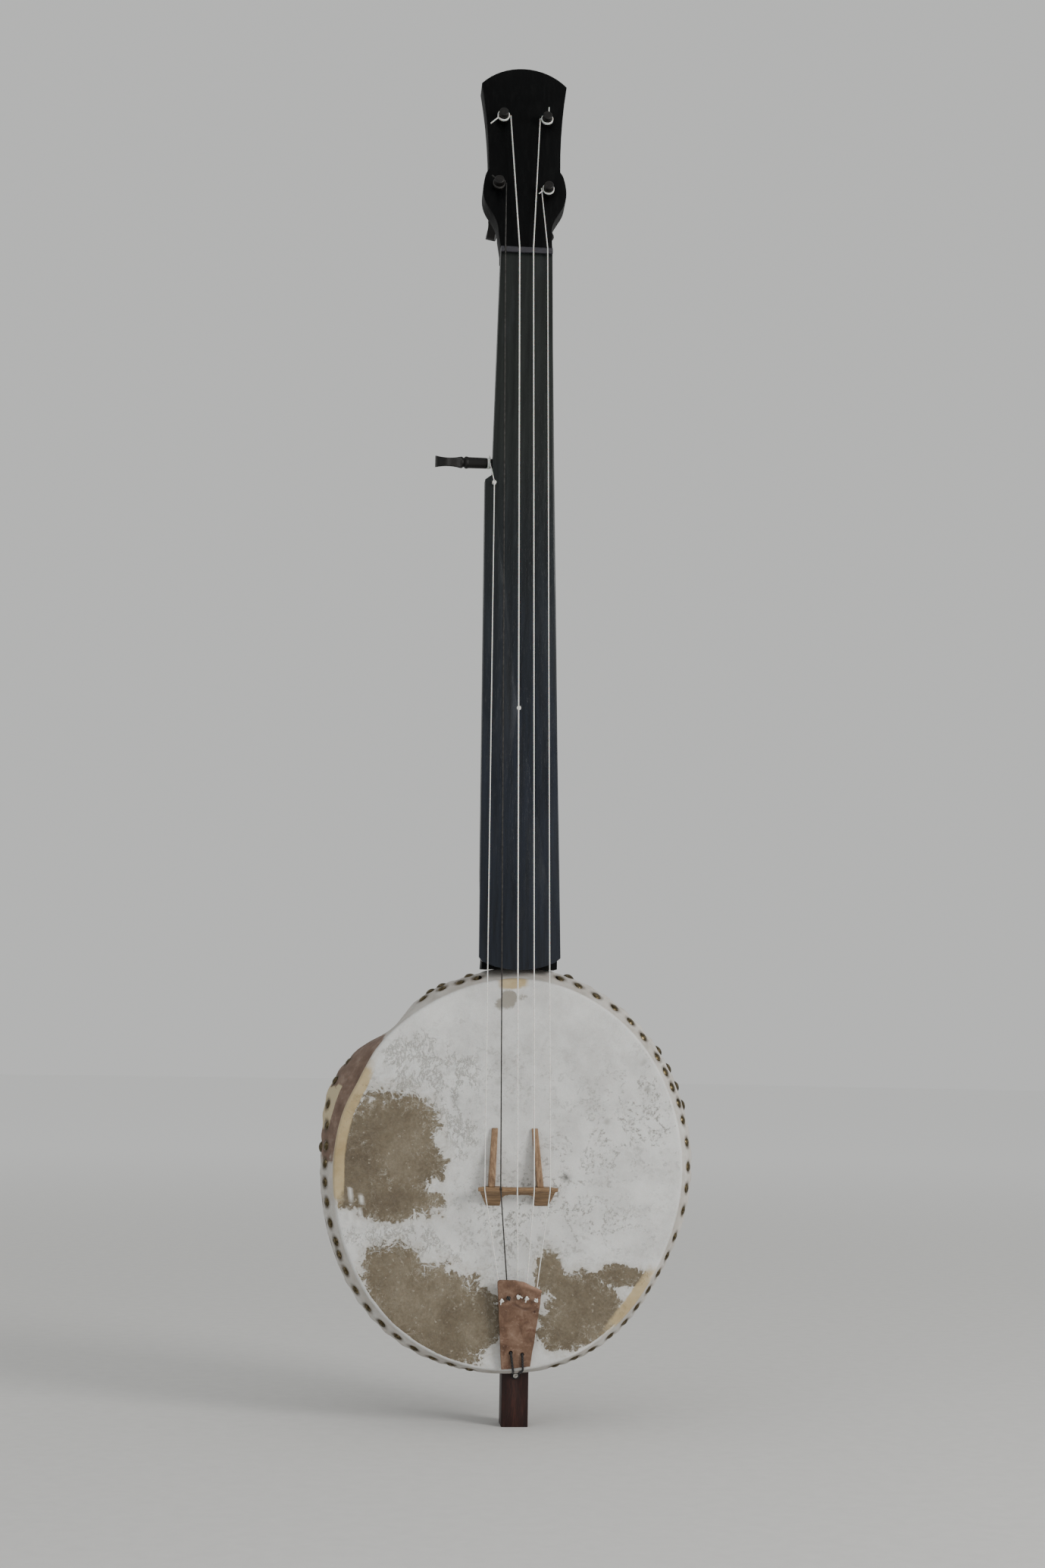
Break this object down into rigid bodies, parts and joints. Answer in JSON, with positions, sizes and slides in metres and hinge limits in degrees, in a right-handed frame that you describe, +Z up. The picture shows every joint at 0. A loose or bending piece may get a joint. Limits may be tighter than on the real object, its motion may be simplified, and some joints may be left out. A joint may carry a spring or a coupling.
{
  "type": "gourd banjo",
  "caption": "Fretless gourd banjo with a tacked skin head, wooden bridge, tailpiece, short fifth string and friction tuning pegs.",
  "frame": {"origin": "middle of the foot, the lower end face of the dowel stick", "axes": "+Z up along the neck, -Y out of the playing side (head and strings), +X towards the first-string side"},
  "size_m": [0.2551, 0.1377, 0.9594],
  "materials": {
    "gourd": "waxed",
    "goatskin": "matt",
    "tack_brass": "antique",
    "dowel_wood": "oiled",
    "black_wood": "satin",
    "board": "satin",
    "dot_white": "polished",
    "pip_white": "satin",
    "nut_grey": "satin",
    "bridge_wood": "waxed",
    "tail_leather": "worn",
    "black_cord": "waxed",
    "screw_steel": "worn",
    "string_white": "smooth",
    "string_dark": "wound",
    "peg_wood": "satin"
  },
  "bodies": {
    "banjo": {"gourd_bowl": "gourd", "head_skin": "goatskin", "rim_tacks": "tack_brass", "extra_tacks": "tack_brass", "dowel_stick": "dowel_wood", "neck": "black_wood", "fingerboard": "board", "octave_dot": "dot_white", "fifth_string_pip": "pip_white", "nut": "nut_grey", "bridge": "bridge_wood", "bridge_fins": "bridge_wood", "tailpiece": "tail_leather", "tail_cord": "black_cord", "tail_screw": "screw_steel", "string_1": "string_white", "string_2": "string_white", "string_3": "string_white", "string_4": "string_dark", "string_5": "string_white"},
    "peg_1": {"tuning_peg_1": "peg_wood", "string_winding_1": "string_white"},
    "peg_2": {"tuning_peg_2": "peg_wood", "string_winding_2": "string_white"},
    "peg_3": {"tuning_peg_3": "peg_wood", "string_winding_3": "string_white"},
    "peg_4": {"tuning_peg_4": "peg_wood", "string_winding_4": "string_dark"},
    "peg_5": {"tuning_peg_5": "peg_wood", "string_winding_5": "string_white"}
  },
  "joints": [
    {"name": "peg_turn_1", "type": "hinge", "parent": "banjo", "child": "peg_1", "pos_m": [0.0094, -0.01835, 0.85789], "axis": [0, -0.9781, 0.2079], "continuous": true},
    {"name": "peg_turn_2", "type": "hinge", "parent": "banjo", "child": "peg_2", "pos_m": [0.0089, -0.00621, 0.91501], "axis": [0, -0.9781, 0.2079], "continuous": true},
    {"name": "peg_turn_3", "type": "hinge", "parent": "banjo", "child": "peg_3", "pos_m": [-0.0225, -0.00596, 0.91618], "axis": [0, -0.9781, 0.2079], "continuous": true},
    {"name": "peg_turn_4", "type": "hinge", "parent": "banjo", "child": "peg_4", "pos_m": [-0.0257, -0.01775, 0.86072], "axis": [0, -0.9781, 0.2079], "continuous": true},
    {"name": "peg_turn_5", "type": "hinge", "parent": "banjo", "child": "peg_5", "pos_m": [-0.031, -0.0215, 0.6575], "axis": [1, 0, 0], "continuous": true}
  ]
}
